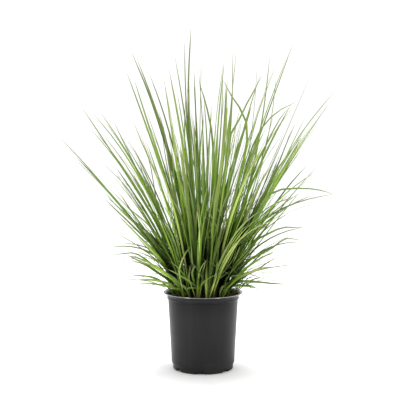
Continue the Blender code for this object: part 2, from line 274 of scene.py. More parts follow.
LIP_RADIUS = 0.0825
BODY_TOP_RADIUS = 0.0727
BODY_FOOT_RADIUS = 0.0655
BASE_RADIUS = 0.0626
BASE_CORNER = 0.0025
BAND_TOP = 0.0090
BAND_EDGE = 0.0008
BAND_SPREAD = 0.0003
STEP_TOP = 0.0160
STEP_EDGE = 0.0012
STEP_INSET = 0.0002
BODY_TOP = 0.1455
BEAD_HEIGHT = 0.1478
BEAD_RADIUS = 0.0750
BEAD_ROLL = 0.0010
BEAD_TOP = 0.1492
COLLAR_RADIUS = 0.0745
FLARE_START = 0.1517
LIP_ROLL = 0.0010
WALL = 0.0012
POT_FLOOR = 0.0016
FLARE = LIP_RADIUS - LIP_ROLL - COLLAR_RADIUS
LIP_TOP = FLARE_START + FLARE + WALL / 2 + LIP_ROLL
FLARE_END = 105
FLARE_STEPS = 10
ROUND_STEPS = 8
WALL_STEPS = 4
POT_SEGMENTS = 144
POT_CREASE = math.radians(38)


def arc(centre, radius, start, end, steps):
    """Points (radius, height) along an arc between two angles in degrees, both ends included."""
    angles = [math.radians(start + (end - start) * i / steps) for i in range(steps + 1)]
    return [(centre[0] + radius * math.cos(a), centre[1] + radius * math.sin(a)) for a in angles]


def pot_outline():
    """Up the outside from the base's edge, over the lip, and down the inside to the floor."""
    flare_centre = (LIP_RADIUS - LIP_ROLL, FLARE_START)
    roll_centre = (LIP_RADIUS - LIP_ROLL, FLARE_START + FLARE + WALL / 2)
    outline = arc((BASE_RADIUS - BASE_CORNER, BASE_CORNER), BASE_CORNER, -90, 0, ROUND_STEPS)
    outline += [(BASE_RADIUS, BAND_TOP - BAND_EDGE), (BASE_RADIUS + BAND_SPREAD, BAND_TOP)]
    outline += [(BODY_FOOT_RADIUS - STEP_INSET, STEP_TOP - STEP_EDGE)]
    for step in range(WALL_STEPS + 1):
        share = step / WALL_STEPS
        radius = BODY_FOOT_RADIUS + (BODY_TOP_RADIUS - BODY_FOOT_RADIUS) * share
        outline.append((radius, STEP_TOP + (BODY_TOP - STEP_TOP) * share))
    outline += arc((BEAD_RADIUS - BEAD_ROLL, BEAD_HEIGHT), BEAD_ROLL, -50, 60, ROUND_STEPS)
    outline += [(COLLAR_RADIUS, BEAD_TOP)]
    outline += arc(flare_centre, FLARE, 180, FLARE_END, FLARE_STEPS)
    outline += arc(roll_centre, LIP_ROLL, FLARE_END - 180, 90, ROUND_STEPS)
    outline += arc(flare_centre, FLARE + WALL, FLARE_END, 180, FLARE_STEPS)
    outline += [(COLLAR_RADIUS - WALL, BEAD_HEIGHT + WALL / 2)]
    outline += [(BODY_TOP_RADIUS - WALL, BODY_TOP + WALL / 2)]
    outline += [(BODY_FOOT_RADIUS - WALL, STEP_TOP), (BASE_RADIUS - WALL, BAND_TOP)]
    outline += [(BASE_RADIUS - WALL, BASE_CORNER), (BASE_RADIUS - BASE_CORNER, POT_FLOOR)]
    return outline


def turn_up(name, outline, segments):
    """A ring, extruded from point to point of an outline and filled at both ends."""
    bpy.ops.object.select_all(action="DESELECT")
    radius, height = outline[0]
    bpy.ops.mesh.primitive_circle_add(vertices=segments, radius=radius, location=(0, 0, height))
    made = bpy.context.object
    made.name = name
    bpy.ops.object.transform_apply(location=True, rotation=True, scale=True)
    bpy.ops.object.mode_set(mode="EDIT")
    bpy.ops.mesh.select_all(action="SELECT")
    for next_radius, next_height in outline[1:]:
        rise = (0, 0, next_height - height)
        bpy.ops.mesh.extrude_region_move(TRANSFORM_OT_translate={"value": rise})
        wider = next_radius / radius
        middle = (0, 0, next_height)
        bpy.ops.transform.resize(value=(wider, wider, 1), center_override=middle)
        radius, height = next_radius, next_height
    bpy.ops.mesh.edge_face_add()
    bpy.ops.mesh.select_all(action="DESELECT")
    bpy.ops.mesh.select_non_manifold()
    bpy.ops.mesh.edge_face_add()
    bpy.ops.mesh.select_all(action="SELECT")
    bpy.ops.mesh.normals_make_consistent(inside=False)
    bpy.ops.object.mode_set(mode="OBJECT")
    return made


SLOT_COUNT = 7
SLOT_HALF_WIDTH = 0.0090
SLOT_HEIGHT = 0.0070
SLOT_INNER = 0.0530
SLOT_OUTER = 0.0660
SLOT_SEGMENTS = 32
FIRST_SLOT = -94.0

pot = turn_up("nursery_pot", pot_outline(), POT_SEGMENTS)
for number in range(SLOT_COUNT):
    angle = math.radians(FIRST_SLOT) + math.tau * number / SLOT_COUNT
    along = Vector((math.cos(angle), math.sin(angle), 0))
    bpy.ops.object.select_all(action="DESELECT")
    bpy.ops.mesh.primitive_cylinder_add(
        vertices=SLOT_SEGMENTS, radius=SLOT_HALF_WIDTH, depth=SLOT_OUTER - SLOT_INNER,
        end_fill_type="NGON", location=along * (SLOT_INNER + SLOT_OUTER) / 2,
        rotation=along.to_track_quat("Z", "Y").to_euler(),
        scale=(1, SLOT_HEIGHT / SLOT_HALF_WIDTH, 1),
    )
    rod = bpy.context.object
    cut = pot.modifiers.new("drainage_slot", "BOOLEAN")
    cut.operation = "DIFFERENCE"
    cut.object = rod
    bpy.context.view_layer.objects.active = pot
    bpy.ops.object.modifier_apply(modifier=cut.name)
    bpy.data.objects.remove(rod)
bpy.ops.object.select_all(action="DESELECT")
pot.select_set(True)
bpy.ops.object.shade_smooth_by_angle(angle=POT_CREASE)

# The inside of the collar and lip is marked, so that it can be painted darker than the outside as painted
# shade
inner_side = pot.data.attributes.new("inner_side", "FLOAT", "POINT")
for vertex, label in zip(pot.data.vertices, inner_side.data):
    from_axis = math.hypot(vertex.co.x, vertex.co.y)
    from_flare = math.hypot(from_axis - LIP_RADIUS + LIP_ROLL, max(vertex.co.z - FLARE_START, 0))
    label.value = float(from_flare > FLARE + WALL / 2 and vertex.co.z > BODY_TOP)

# Black plastic with faint streaks down the wall and dust on the foot. The lip's top has a glossy coat and
# is painted paler, a painted highlight, and the inside of the collar and lip is painted near-black, a
# painted shade
DUST_HEIGHT = 0.045
STREAK_RELIEF = 0.0003
DUST_RELIEF = 0.00008
plastic = Finish("black_moulded_plastic", Specular_IOR_Level=0.2, Coat_Roughness=0.12, Coat_IOR=2.9)
on_pot = plastic.coordinates()
streaks = plastic.grain(plastic.coordinates(stretch=(1, 1, 0.04)), 120.0, 4.0)
clouds = plastic.grain(on_pot, 22.0, 4.0, 0.6)
dust = plastic.grain(on_pot, 260.0, 5.0, 0.7)
height_up = plastic.component(on_pot, "Z")
near_floor = 1 - plastic.between(height_up, 0.0, DUST_HEIGHT)
dusty = near_floor * plastic.between(clouds + dust * 0.5, 0.62, 0.95)
streaks_dust_and_painted_light = plastic.ramp(streaks, (0.3, linear(22, 22, 24)), (0.7, linear(27, 27, 28)))
streaks_dust_and_painted_light = plastic.mix(dusty * 0.30, streaks_dust_and_painted_light, linear(54, 52, 49))
lip = plastic.between(height_up, LIP_TOP - 2 * LIP_ROLL, LIP_TOP - LIP_ROLL)
# Painted highlight: the top of the lip is painted a paler grey
streaks_dust_and_painted_light = plastic.mix(lip, streaks_dust_and_painted_light, linear(50, 50, 52))
# Painted shade: the inside of the collar and lip, below the lip's top, is painted near-black
streaks_dust_and_painted_light = plastic.mix(plastic.mark("inner_side") * (1 - lip), streaks_dust_and_painted_light, linear(5, 5, 5))
sheen = 0.30 + clouds * 0.12 + dusty * 0.25
ripples = plastic.bump(streaks, STREAK_RELIEF, 0.35)
pitted = plastic.bump(dust, DUST_RELIEF, 0.5, ripples)
plastic.surface(Base_Color=streaks_dust_and_painted_light, Roughness=sheen, Coat_Weight=lip, Normal=pitted)
pot.data.materials.append(plastic.material)
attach(pot, "root")
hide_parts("pot")


# The potting mix. Moist peat and composted bark, filled into the pot by hand to a finger's width below
# the lip, and settled into a low mound round the crown of the clump. Loose crumbs and flakes of bark
# lie on top of it.

GAP = 0.0003
MIX_EDGE_HEIGHT = 0.1370
MIX_RISE = 0.0070
MIX_BUMP = 0.0011
LUMP_WAVES = (173, 151, 311, 257)
MIX_RINGS = 26
MIX_SEGMENTS = 96
GRIT = 0.0009
GRIT_SCALE = 160
GRIT_FRACTAL = (0.9, 2.0, 4)
SUNK = 0.0006
CRUMBS = 900
CRUMB_SEED = 41
CRUMB_RADII = (0.0006, 0.0019)
CRUMB_LENGTHS = (0.7, 2.0)
CRUMB_WIDTHS = (0.6, 1.2)
CRUMB_HEIGHTS = (0.25, 0.8)
CRUMB_DENTS = (0.8, 1.2)
CRUMB_TILT = 0.4
CRUMB_LIFT = 0.2
CRUMB_MARGIN = 0.003


def pot_inner_radius(height):
    """Inside radius of the pot's tapered wall."""
    share = (height - STEP_TOP) / (BODY_TOP + WALL / 2 - STEP_TOP)
    return BODY_FOOT_RADIUS - WALL + (BODY_TOP_RADIUS - BODY_FOOT_RADIUS) * share


def mix_height(x, y):
    """Height of the mix's top surface: a low mound under the clump, with lumps."""
    share = min(1.0, math.hypot(x, y) / pot_inner_radius(MIX_EDGE_HEIGHT))
    wide_x, wide_y, slant_x, slant_y = LUMP_WAVES
    lumps = math.sin(wide_x * x + 0.7) * math.sin(wide_y * y - 0.4)
    lumps += 0.6 * math.sin(slant_x * x - slant_y * y)
    return MIX_EDGE_HEIGHT + MIX_RISE * (1 - share**2) + MIX_BUMP * lumps * (1 - 0.6 * share)


def joined_mesh(name, points, faces):
    """A new object from arrays."""
    mesh = bpy.data.meshes.new(name)
    mesh.from_pydata([tuple(p) for p in points], [], faces)
    mesh.validate()
    made = bpy.data.objects.new(name, mesh)
    bpy.context.collection.objects.link(made)
    return made


mix_edge = pot_inner_radius(MIX_EDGE_HEIGHT) - GAP
base_edge = BASE_RADIUS - WALL - GAP
mix_outline = [(BASE_RADIUS - BASE_CORNER - GAP, POT_FLOOR + GAP)]
mix_outline += [(base_edge, BASE_CORNER + GAP), (base_edge, BAND_TOP + GAP)]
mix_outline += [(BODY_FOOT_RADIUS - WALL - GAP, STEP_TOP + GAP), (mix_edge, MIX_EDGE_HEIGHT)]
mix_outline += [(mix_edge * (1 - ring / MIX_RINGS), MIX_EDGE_HEIGHT) for ring in range(1, MIX_RINGS)]
mix = turn_up("potting_mix_fill", mix_outline, MIX_SEGMENTS)
for vertex in mix.data.vertices:
    x, y, z = vertex.co
    if z > MIX_EDGE_HEIGHT - GAP and math.hypot(x, y) < mix_edge - GAP:
        rough = noise.fractal(Vector((x, y, 0)) * GRIT_SCALE, *GRIT_FRACTAL)
        vertex.co.z = mix_height(x, y) - SUNK + GRIT * rough

crumb_rng = random.Random(CRUMB_SEED)
crumb_points = []
crumb_faces = []
ball = bmesh.new()
bmesh.ops.create_icosphere(ball, subdivisions=1, radius=1.0)
ball_points = [v.co.copy() for v in ball.verts]
ball_faces = [[v.index for v in f.verts] for f in ball.faces]
ball.free()
for _ in range(CRUMBS):
    radius = (mix_edge - CRUMB_MARGIN) * math.sqrt(crumb_rng.random())
    angle = crumb_rng.uniform(0, math.tau)
    x, y = radius * math.cos(angle), radius * math.sin(angle)
    size = crumb_rng.uniform(*CRUMB_RADII)
    shape = [crumb_rng.uniform(*sides) for sides in (CRUMB_LENGTHS, CRUMB_WIDTHS, CRUMB_HEIGHTS)]
    tilt = [crumb_rng.uniform(-CRUMB_TILT, CRUMB_TILT) for _ in range(2)]
    turn = Vector((*tilt, 1)).to_track_quat("Z", "Y")
    spin = Matrix.Rotation(crumb_rng.uniform(0, math.tau), 3, "Z")
    first_point = len(crumb_points)
    for point in ball_points:
        bent = Vector([a * b * crumb_rng.uniform(*CRUMB_DENTS) for a, b in zip(point, shape)]) * size
        bent = turn @ (spin @ bent)
        crumb_points.append(bent + Vector((x, y, mix_height(x, y) + size * CRUMB_LIFT)))
    crumb_faces += [[first_point + i for i in face] for face in ball_faces]
crumbs = joined_mesh("bark_crumbs", crumb_points, crumb_faces)

# Dark fibres, paler where they are dry, and matt
FIBRE_RELIEF = 0.0006
soil = Finish("moist_peat_and_bark", Specular_IOR_Level=0.3)
on_mix = soil.coordinates()
fibres = soil.grain(on_mix, 380.0, 5.0, 0.65)
patches = soil.grain(on_mix, 90.0, 3.0)
brown = soil.ramp(
    fibres * 0.6 + patches * 0.5,
    (0.35, linear(12, 9, 7)), (0.55, linear(28, 21, 16)), (0.72, linear(60, 45, 32)),
)
fibrous = soil.bump(fibres, FIBRE_RELIEF, 0.8)
soil.surface(Base_Color=brown, Roughness=0.82 + fibres * 0.15, Normal=fibrous)
for piece in (mix, crumbs):
    piece.data.materials.append(soil.material)
    piece.data.shade_smooth()
    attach(piece, "root")
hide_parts("potting_mix")


# The shoots. Each is a short, pale sheath that stands in the mix and opens into a few long, narrow
# leaves, folded along their midribs and drawn out to hair-fine tips. Some leaves cross over to a
# neighbour's side, young ones bend out of the crown, and a few have kinked.

# A leaf's line, as it is read from its shoot's solid
SOLID_SHARES = np.array((0.0, 0.13, 0.36, 0.60, 0.82, 1.0))
WIDEST_RING = 2
SAME_POINT = 1e-5
SAME_LEVEL = 1e-4
LOWEST_TIP = 0.01
SHEATH_RADIUS = 0.0031
ROOTED = 0.004
LIP_CLEARANCE = 0.0030
LIP_CHECKS = 40
STRAY = 0.008

# A leaf's blade, at shares of its length
BLADE_STEPS = np.array(
    (0.0, 0.04, 0.08, 0.13, 0.20, 0.28, 0.36, 0.45, 0.54, 0.63, 0.72, 0.80, 0.87, 0.93, 0.97, 1.0)
)
TAPER_SHARES = (0, 0.13, 0.36, 0.60, 0.82, 0.93, 1.0)
TAPER = (0.62, 0.82, 1.0, 0.92, 0.68, 0.46, 0.10)
FOOT_TAPER = 0.50
FOLDS = (0.45, 0.75)
FOLD_SHARES = (0, 0.2, 0.6, 1.0)
FOLD_DEPTHS = (0.95, 0.7, 0.5, 0.9)
RIB_SIDE = 0.65
THICKNESS = 0.0004
LEAN_CURVE = 2.2
TWIST_CURVE = 1.4
SWAY_TURNS = (0.8, 1.8)
ROLLED_BY = 0.15
LEAF_CREASE = math.radians(50)
KINK_CHANCE = 0.07
KINK_SHARES = (0.45, 0.85)
KINK_ANGLES = (20, 75)
KINK_SOFTNESS = 0.012

# The sheath's rings: the share of the way up to its mouth, the radius, and the place along the leaf map
SHEATH_RINGS = ((0, 0.0034, -0.14), (0.3, 0.0031, -0.08), (0.7, 0.0027, -0.04), (1, 0.0020, 0.0))
SHEATH_SIDES = 8

# The light inside the clump, and how deep inside it each level of light counts as, for the painted shade
# that darkens the leaves' colour
CELL = 0.008
OUTLOOK_CELLS = 20
SPOTS_PER_STEP = 8
LIGHT_LEVELS = (0.15, 0.23, 0.33, 0.47, 0.62)
PAINTED_SHADE_LEVELS = (1.0, 0.74, 0.38, 0.14, 0.0)

# A shoot's further leaves: how many companions, crossing leaves and young leaves grow on an upright
# shoot and on a low one, and the ranges that their measures are drawn from
UPRIGHT = 0.72
UPRIGHT_GROWTH = (4, 2, 2)
LOW_GROWTH = (0, 1, 0)
NEIGHBOURS = 13
FIRST_SEED = 700
SHOOT_TONES = (0.22, 0.68)
TONE_SPREAD = 0.28
PALEST = 0.95
LEAF_WIDTHS = (0.70, 1.10)
LEAF_DRYNESS = (0, 0, 0, 0.06)
FURTHER_DRYNESS = (0, 0, 0.05, 0.09)
LEAN = 0.013
DROOP = 0.012
COMPANION_OVER = (0.2, 0.8)
COMPANION_REACH = (0.68, 1.0)
COMPANION_WIDTHS = (0.45, 0.85)
CROSSING_OVER = np.array((0.0, 0.0, 0.10, 0.38, 0.72, 0.94, 1.0))
CROSSING_REACH = (0.38, 0.80)
CROSSING_WIDTHS = (0.40, 0.80)

# A young leaf. What differs from the clump's middle to the crown's edge is given for both, with its
# rise from level at its foot and at its tip in degrees
CROWN_RADIUS = 0.054
YOUNG_STEPS = 6
YOUNG_WIDTHS = (0.0024, 0.0048)
YOUNG_LENGTHS = (0.08, 0.19)
YOUNG_FEET = (0.012, 0.026)
YOUNG_TURN = 0.5
MIDDLE_SPREAD, EDGE_SPREAD = 1.25, 0.35
MIDDLE_FOOT_RISE, EDGE_FOOT_RISE = (58, 84), (36, 72)
MIDDLE_TIP_RISE, EDGE_TIP_RISE = (20, 62), (-8, 32)
FRONT = -0.6
FRONT_LIFT = math.radians(22)


class LeafLine:
    """A leaf's centre line and its outward side, at shares of its length from the sheath's mouth."""

    def __init__(self, shares, centres, outs, width):
        self.shares = np.array(shares)
        self.centres = np.array(centres)
        self.outs = np.array(outs)
        self.width = width

    def read(self, values, at):
        """A smooth curve through values, one for each of the line's shares."""
        slopes = np.gradient(values, self.shares, axis=0)
        i = np.clip(np.searchsorted(self.shares, at, side="right") - 1, 0, len(self.shares) - 2)
        step = (self.shares[i + 1] - self.shares[i])[:, None]
        t = (at - self.shares[i])[:, None] / step
        low = (1 + 2 * t) * (1 - t) ** 2 * values[i] + t * (1 - t) ** 2 * step * slopes[i]
        high = t**2 * (3 - 2 * t) * values[i + 1] + t**2 * (t - 1) * step * slopes[i + 1]
        return low + high

    def between(self, other, over, reach):
        """A leaf that grows between this one and another, and ends at reach along them. Over is how far
        across it is, from 0 to 1, for the whole leaf or for each of its places from the sole up."""
        over = np.broadcast_to(over, len(self.shares))[:, None]
        at = self.shares[1:] * reach
        mine = np.vstack((self.centres[:1], self.read(self.centres, at)))
        others = np.vstack((other.centres[:1], other.read(other.centres, at)))
        facing = math.copysign(1, (self.outs * other.outs).sum())
        centres = mine * (1 - over) + others * over
        outs = self.outs * (1 - over) + facing * other.outs * over
        return LeafLine(self.shares, centres, outs, (self.width + other.width) / 2)

    def clears_lip(self):
        """Whether the leaf passes well over the pot's lip."""
        points = self.read(self.centres, np.linspace(0, 1, LIP_CHECKS))
        from_axis = np.hypot(points[:, 0], points[:, 1])
        near = (from_axis > COLLAR_RADIUS - LIP_CLEARANCE) & (from_axis < LIP_RADIUS + LIP_CLEARANCE)
        return bool(np.all(points[near, 2] > LIP_TOP + LIP_CLEARANCE))


def leaf_lines(node):
    """Reads each leaf of a shoot's solid, and the middle of the shoot's foot. A leaf's tip is a corner
    where three edges meet, and below it its sections follow one another down to the sheath."""
    bm = bmesh.new()
    bm.from_mesh(node.data)
    bmesh.ops.remove_doubles(bm, verts=bm.verts, dist=SAME_POINT)
    lowest = min(v.co.z for v in bm.verts)
    soles = [v.co for v in bm.verts if v.co.z < lowest + SAME_LEVEL]
    foot = sum(soles, Vector()) / len(soles)
    lines = []
    for tip in bm.verts:
        if len(tip.link_edges) != 3 or tip.co.z < lowest + LOWEST_TIP:
            continue
        ring = [edge.other_vert(tip) for edge in tip.link_edges]
        known = {tip, *ring}
        rings = [ring]
        while len(rings) < len(SOLID_SHARES) - 1:
            ring = list({edge.other_vert(v) for v in ring for edge in v.link_edges} - known)
            known.update(ring)
            rings.append(ring)
        lines.append(line_through([[v.co.copy() for v in ring] for ring in rings], tip.co.copy(), foot))
    bm.free()
    lines.sort(key=lambda line: tuple(line.centres[-1]))
    return lines, foot


def line_through(rings, tip, foot):
    """The line of one leaf through its sections, from its tip down, and on to the foot of the sheath."""
    centres, outs, widths = [tip], [], []
    for ring in rings:
        pairs = [(ring[i], ring[i - 1], ring[i - 2]) for i in range(3)]
        left, right, third = max(pairs, key=lambda pair: (pair[0] - pair[1]).length)
        middle = (left + right) / 2
        out = (third - middle).normalized()
        if ring is rings[-1]:
            middle = third - out * SHEATH_RADIUS
            out = -out
        centres.append(middle)
        outs.append(out)
        widths.append((left - right).length)
    flat = Vector((outs[-1].x, outs[-1].y, 0)).normalized()
    sole = foot + flat * SHEATH_RADIUS - Vector((0, 0, ROOTED))
    length = (tip - centres[-1]).length
    shares = [-(centres[-1] - sole).length / length, *SOLID_SHARES]
    outs = [outs[0], *outs, flat]
    return LeafLine(shares, [sole, *reversed(centres)], outs[::-1], widths[-1 - WIDEST_RING])


def line_from(foot, points, outs, width):
    """The line of a leaf that stands in the mix at a shoot's foot and goes through these points."""
    points = [foot - Vector((0, 0, ROOTED)), *points]
    steps = [(high - low).length for low, high in zip(points, points[1:])]
    shares = (np.cumsum([0, *steps]) - steps[0]) / sum(steps[1:])
    return LeafLine(shares, points, outs, width)


def young_leaf(foot, rng):
    """A short leaf that rises out of its sheath and bends away from the clump's middle, the flatter the
    further out it stands. None hangs over the front of the lip."""
    outer = math.hypot(foot.x, foot.y) / CROWN_RADIUS

    def drawn(middle, edge):
        """A draw from the range that holds at this foot, between the middle's range and the edge's."""
        low, high = (inner + (outermost - inner) * outer for inner, outermost in zip(middle, edge))
        return rng.uniform(low, high)

    spread = MIDDLE_SPREAD + (EDGE_SPREAD - MIDDLE_SPREAD) * outer
    way = math.atan2(foot.y, foot.x) + rng.gauss(0, spread)
    turn = rng.uniform(-YOUNG_TURN, YOUNG_TURN)
    steep = math.radians(drawn(MIDDLE_FOOT_RISE, EDGE_FOOT_RISE))
    flat = math.radians(drawn(MIDDLE_TIP_RISE, EDGE_TIP_RISE))
    if math.sin(way) < FRONT:
        flat += FRONT_LIFT
    step = rng.uniform(*YOUNG_LENGTHS) / YOUNG_STEPS
    points = [foot + Vector((0, 0, rng.uniform(*YOUNG_FEET)))]
    outs = [Vector((math.cos(way), math.sin(way), 0))] * 2
    for number in range(YOUNG_STEPS):
        share = (number + 0.5) / YOUNG_STEPS
        rise = flat + (steep - flat) * (1 - share) ** 2
        level = Vector((math.cos(way + turn * share), math.sin(way + turn * share), 0))
        points.append(points[-1] + (level * math.cos(rise) + Vector((0, 0, math.sin(rise)))) * step)
        outs.append(level * math.sin(rise) - Vector((0, 0, math.cos(rise))))
    return line_from(foot, points, outs, rng.uniform(*YOUNG_WIDTHS))


def stays_in_box(points):
    """Whether points lie within the solids' box, or a few millimetres outside it."""
    low, high = np.array(solid_box)
    return bool(np.all(points > low - STRAY) and np.all(points < high + STRAY))


def bend_over(centres, outs, pivot, rng):
    """Kinks a leaf at its pivot, unless its tip would then stand further out or leave the box."""
    level = Vector([rng.uniform(-1, 1), rng.uniform(-1, 1), 0])
    before = Vector(centres[pivot] - centres[pivot - 1])
    hinge = before.cross(level - Vector((0, 0, 1))).normalized()
    turn = np.array(Matrix.Rotation(math.radians(rng.uniform(*KINK_ANGLES)), 3, hinge))
    kinked = centres[pivot] + (centres[pivot + 1:] - centres[pivot]) @ turn.T
    further_out = math.hypot(*kinked[-1][:2]) > math.hypot(*centres[-1][:2])
    if stays_in_box(kinked) and not further_out:
        centres[pivot + 1:] = kinked
        outs[pivot + 1:] = outs[pivot + 1:] @ turn.T


class Shade:
    """How shaded each place in the clump is by the leaves around and above it. The leaves' area is
    spread over a grid of cells, and each cell looks out past its neighbours level and upwards."""

    def __init__(self, spots, areas):
        self.corner = spots.min(axis=0) - CELL
        cells = ((spots - self.corner) / CELL).astype(int)
        leaf = np.zeros(cells.max(axis=0) + 2)
        np.add.at(leaf, tuple(cells.T), areas / (2 * CELL**2))
        outlooks = [way for way in itertools.product((-1, 0, 1), (-1, 0, 1), (0, 1)) if any(way)]
        self.light = np.zeros(leaf.shape)
        for outlook in outlooks:
            blocked = np.zeros(leaf.shape)
            window = tuple(slice(1 + step, 1 + step + size) for step, size in zip(outlook, leaf.shape))
            for _ in range(OUTLOOK_CELLS):
                blocked = np.pad(leaf + blocked, 1)[window]
            self.light += np.exp(-blocked * math.hypot(*outlook)) / len(outlooks)

    def at(self, points):
        """From 0 in the open to 1 deep inside."""
        last_cell = np.array(self.light.shape) - 1
        cells = np.clip(((points - self.corner) / CELL).astype(int), 0, last_cell)
        return np.interp(self.light[tuple(cells.T)], LIGHT_LEVELS, PAINTED_SHADE_LEVELS)


class Foliage:
    """The leaves and the sheath of one shoot, gathered into one mesh."""

    def __init__(self):
        self.points = []
        self.faces = []
        self.places = []
        self.tones = []
        self.dryness = []
        self.spots = []
        self.areas = []

    def add_rings(self, rings, along, tone, dry):
        """Joins rings of points into a closed tube. On the leaf map, a ring's faces go from 0 to 2, with
        a leaf's upper side up to 1 and its underside past it, and along gives each ring's other place."""
        rings = np.array(rings)
        middles = rings.mean(axis=1)
        steps = middles[1:] - middles[:-1]
        girths = np.linalg.norm(rings - np.roll(rings, 1, axis=1), axis=2).sum(axis=1) / 2
        for share in np.arange(SPOTS_PER_STEP) / SPOTS_PER_STEP:
            self.spots.append(middles[:-1] + steps * share)
            self.areas.append(np.linalg.norm(steps, axis=1) * girths[:-1] / SPOTS_PER_STEP)
        sides = len(rings[0])
        first = len(self.points)
        for ring in rings:
            self.points += [tuple(p) for p in ring]
        self.tones += [tone] * sides * len(rings)
        self.dryness += [dry] * sides * len(rings)
        for row in range(len(rings) - 1):
            for side in range(sides):
                after = (side + 1) % sides
                low = first + row * sides
                high = low + sides
                self.faces.append((low + side, low + after, high + after, high + side))
                left, right = 2 * side / sides, 2 * (side + 1) / sides
                self.places += [(left, along[row]), (right, along[row])]
                self.places += [(right, along[row + 1]), (left, along[row + 1])]
        last = first + sides * (len(rings) - 1)
        self.faces += [tuple(range(first, first + sides))[::-1], tuple(range(last, last + sides))]
        for end in (along[0], along[-1]):
            self.places += [(0.5, end)] * sides

    def add_blade(self, line, rng, width, tone, dry, most_twist=1.4, most_roll=0.2, most_sway=0.003,
                  lean=(0, 0, 0), kinks=True):
        """A keeled leaf: at each step along the line, its two edges, and its two faces at the midrib. It
        leans and sways off the line, may kink, and rolls and twists about it."""
        at = line.shares[0] + (1 - line.shares[0]) * BLADE_STEPS
        kink = None
        if kinks and rng.random() < KINK_CHANCE:
            kink = rng.uniform(*KINK_SHARES)
            at = np.sort(np.append(at, (kink - KINK_SOFTNESS, kink, kink + KINK_SOFTNESS)))
        up = np.clip(at, 0, 1)
        centres = line.read(line.centres, at) + np.outer(up**LEAN_CURVE, lean)
        outs = line.read(line.outs, at)
        start = rng.uniform(0, math.tau)
        wave = np.sin(start + up * math.pi * rng.uniform(*SWAY_TURNS)) - math.sin(start)
        aside = Vector((rng.gauss(0, 1), rng.gauss(0, 1), 0)).normalized()
        swayed = centres + np.outer(up * wave * most_sway, aside)
        if stays_in_box(swayed):
            centres = swayed
        if kink:
            bend_over(centres, outs, int(np.searchsorted(at, kink)), rng)
        along = np.gradient(centres, at, axis=0)
        along /= np.linalg.norm(along, axis=1, keepdims=True)
        outs -= along * (outs * along).sum(axis=1, keepdims=True)
        outs /= np.linalg.norm(outs, axis=1, keepdims=True)
        across = np.cross(along, outs)
        roll = rng.uniform(-1, 1) * most_roll * np.clip(up / ROLLED_BY, 0, 1)
        turn = (roll + rng.uniform(-1, 1) * most_twist * up**TWIST_CURVE)[:, None]
        across, outs = (
            across * np.cos(turn) + outs * np.sin(turn),
            outs * np.cos(turn) - across * np.sin(turn),
        )
        taper = np.interp(at, (line.shares[0], *TAPER_SHARES), (FOOT_TAPER, *TAPER))
        half = (width * taper / 2)[:, None]
        fold = rng.uniform(*FOLDS) * np.interp(at, FOLD_SHARES, FOLD_DEPTHS)[:, None]
        wall = np.minimum(THICKNESS, half / 2)
        edge = centres - outs * half * fold * (1 - RIB_SIDE)
        rib = centres + outs * half * fold * RIB_SIDE
        corners = (
            edge - across * half,
            rib - outs * wall / 2,
            edge + across * half,
            rib + outs * wall / 2,
        )
        self.add_rings(np.stack(corners, axis=1), at, tone, dry)

    def make(self, name, finish, shade):
        """The shoot's mesh, with its leaf map and what its finish reads at each point."""
        made = joined_mesh(name, self.points, self.faces)
        mesh = made.data
        places = mesh.uv_layers.new(name="leaf_map")
        places.uv.foreach_set("vector", np.array(self.places, dtype=np.float32).ravel())
        # Painted shade: how deep in the clump each point lies, for the finish to darken its colour
        painted_shade_depths = shade.at(np.array(self.points))
        for label, values in (("tone", self.tones), ("dryness", self.dryness), ("depth", painted_shade_depths)):
            layer = mesh.attributes.new(label, "FLOAT", "POINT")
            layer.data.foreach_set("value", np.array(values, dtype=np.float32))
        mesh.materials.append(finish)
        bm = bmesh.new()
        bm.from_mesh(mesh)
        bmesh.ops.recalc_face_normals(bm, faces=bm.faces)
        bm.to_mesh(mesh)
        bm.free()
        mesh.shade_smooth()
        mesh.set_sharp_from_angle(angle=LEAF_CREASE)
        return made


VEINS = 11
VEIN_RELIEF = 0.00006


